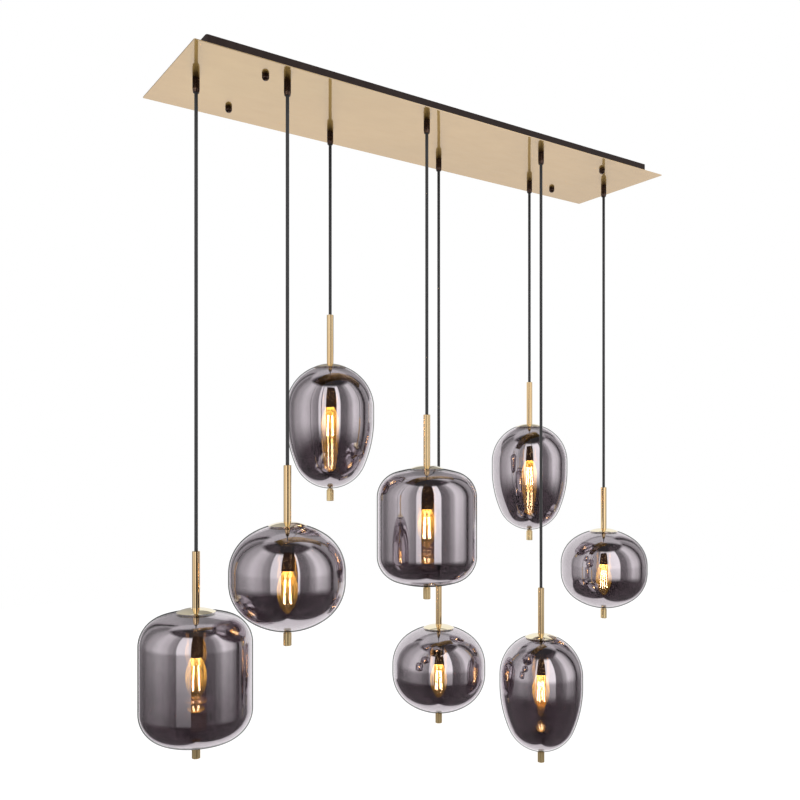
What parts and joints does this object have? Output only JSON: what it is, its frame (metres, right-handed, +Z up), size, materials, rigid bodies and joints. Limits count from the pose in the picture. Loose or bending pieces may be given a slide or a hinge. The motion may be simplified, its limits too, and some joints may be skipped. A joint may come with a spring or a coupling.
{
  "type": "cluster pendant light",
  "caption": "Long mirror-plate canopy from which smoked half-mirrored glass pendants hang at staggered heights on textile cords, each with a brass stem and finial.",
  "frame": {"origin": "centre of the four ceiling screw holes, on the ceiling plane where the straps and the tray's rim meet it", "axes": "+X along the canopy, +Y across it, +Z up into the ceiling; the pendants hang towards -Z"},
  "size_m": [1.1711, 0.3452, 1.2816],
  "materials": {
    "housing": "satin black-brown powder coat",
    "mirror_plate": "mirror polished, champagne gold",
    "zinc_steel": "bright zinc plate",
    "dark_metal": "dark bronze, satin",
    "cord": "braided textile jacket",
    "brass": "brushed satin brass",
    "holder": "black moulded",
    "bulb_glass": "clear, lit amber filament",
    "smoked_glass": "blown, smoked, half mirrored",
    "block": "moulded"
  },
  "bodies": {
    "canopy": {"canopy_housing": "housing", "canopy_plate": "mirror_plate", "mounting_straps": "zinc_steel", "strap_studs": "zinc_steel", "strap_nuts": "zinc_steel", "cap_nuts": "dark_metal", "cord_grips": "dark_metal", "grip_nuts": "zinc_steel", "grip_screws": "dark_metal", "cord_tails": "cord", "terminal_block": "block", "terminal_screws": "zinc_steel"},
    "hanging_cord_1": {"cord_1": "cord"},
    "pendant_1": {"stem_1": "brass", "lamp_holder_1": "holder", "bulb_1": "bulb_glass", "cylinder_shade_1": "smoked_glass", "finial_1": "brass"},
    "hanging_cord_2": {"cord_2": "cord"},
    "pendant_2": {"stem_2": "brass", "lamp_holder_2": "holder", "bulb_2": "bulb_glass", "globe_shade_2": "smoked_glass", "finial_2": "brass"},
    "hanging_cord_3": {"cord_3": "cord"},
    "pendant_3": {"stem_3": "brass", "lamp_holder_3": "holder", "bulb_3": "bulb_glass", "egg_shade_3": "smoked_glass", "finial_3": "brass"},
    "hanging_cord_4": {"cord_4": "cord"},
    "pendant_4": {"stem_4": "brass", "lamp_holder_4": "holder", "bulb_4": "bulb_glass", "cylinder_shade_4": "smoked_glass", "finial_4": "brass"},
    "hanging_cord_5": {"cord_5": "cord"},
    "pendant_5": {"stem_5": "brass", "lamp_holder_5": "holder", "bulb_5": "bulb_glass", "globe_shade_5": "smoked_glass", "finial_5": "brass"},
    "hanging_cord_6": {"cord_6": "cord"},
    "pendant_6": {"stem_6": "brass", "lamp_holder_6": "holder", "bulb_6": "bulb_glass", "egg_shade_6": "smoked_glass", "finial_6": "brass"},
    "hanging_cord_7": {"cord_7": "cord"},
    "pendant_7": {"stem_7": "brass", "lamp_holder_7": "holder", "bulb_7": "bulb_glass", "egg_shade_7": "smoked_glass", "finial_7": "brass"},
    "hanging_cord_8": {"cord_8": "cord"},
    "pendant_8": {"stem_8": "brass", "lamp_holder_8": "holder", "bulb_8": "bulb_glass", "globe_shade_8": "smoked_glass", "finial_8": "brass"}
  },
  "joints": [
    {"name": "swing_1", "type": "hinge", "parent": "canopy", "child": "hanging_cord_1", "pos_m": [-0.49, 0, -0.0415], "axis": [1, 0, 0], "range_deg": [-1.2, 6]},
    {"name": "tilt_1", "type": "hinge", "parent": "hanging_cord_1", "child": "pendant_1", "pos_m": [-0.49, 0, -0.82], "axis": [0, 1, 0], "range_deg": [-3.2, 5]},
    {"name": "swing_2", "type": "hinge", "parent": "canopy", "child": "hanging_cord_2", "pos_m": [-0.359, -0.075, -0.0415], "axis": [1, 0, 0], "range_deg": [-6, 1.8]},
    {"name": "tilt_2", "type": "hinge", "parent": "hanging_cord_2", "child": "pendant_2", "pos_m": [-0.359, -0.075, -0.677], "axis": [0, 1, 0], "range_deg": [-5, 4.6]},
    {"name": "swing_3", "type": "hinge", "parent": "canopy", "child": "hanging_cord_3", "pos_m": [-0.192, 0.075, -0.0415], "axis": [1, 0, 0], "range_deg": [-6, 6]},
    {"name": "tilt_3", "type": "hinge", "parent": "hanging_cord_3", "child": "pendant_3", "pos_m": [-0.192, 0.075, -0.387], "axis": [0, 1, 0], "range_deg": [-5, 5]},
    {"name": "swing_4", "type": "hinge", "parent": "canopy", "child": "hanging_cord_4", "pos_m": [-0.07, -0.075, -0.0415], "axis": [1, 0, 0], "range_deg": [-6, 6]},
    {"name": "tilt_4", "type": "hinge", "parent": "hanging_cord_4", "child": "pendant_4", "pos_m": [-0.07, -0.075, -0.583], "axis": [0, 1, 0], "range_deg": [-5, 5]},
    {"name": "swing_5", "type": "hinge", "parent": "canopy", "child": "hanging_cord_5", "pos_m": [0.07, 0.075, -0.0415], "axis": [1, 0, 0], "range_deg": [-2.4, 6]},
    {"name": "tilt_5", "type": "hinge", "parent": "hanging_cord_5", "child": "pendant_5", "pos_m": [0.07, 0.075, -0.918], "axis": [0, 1, 0], "range_deg": [-5, 5]},
    {"name": "swing_6", "type": "hinge", "parent": "canopy", "child": "hanging_cord_6", "pos_m": [0.221, -0.075, -0.0415], "axis": [1, 0, 0], "range_deg": [-6, 2.4]},
    {"name": "tilt_6", "type": "hinge", "parent": "hanging_cord_6", "child": "pendant_6", "pos_m": [0.221, -0.075, -0.93], "axis": [0, 1, 0], "range_deg": [-5, 5]},
    {"name": "swing_7", "type": "hinge", "parent": "canopy", "child": "hanging_cord_7", "pos_m": [0.328, 0.075, -0.0415], "axis": [1, 0, 0], "range_deg": [-6, 6]},
    {"name": "tilt_7", "type": "hinge", "parent": "hanging_cord_7", "child": "pendant_7", "pos_m": [0.328, 0.075, -0.489], "axis": [0, 1, 0], "range_deg": [-5, 5]},
    {"name": "swing_8", "type": "hinge", "parent": "canopy", "child": "hanging_cord_8", "pos_m": [0.49, 0, -0.0415], "axis": [1, 0, 0], "range_deg": [-6, 6]},
    {"name": "tilt_8", "type": "hinge", "parent": "hanging_cord_8", "child": "pendant_8", "pos_m": [0.49, 0, -0.729], "axis": [0, 1, 0], "range_deg": [-5, 5]}
  ]
}
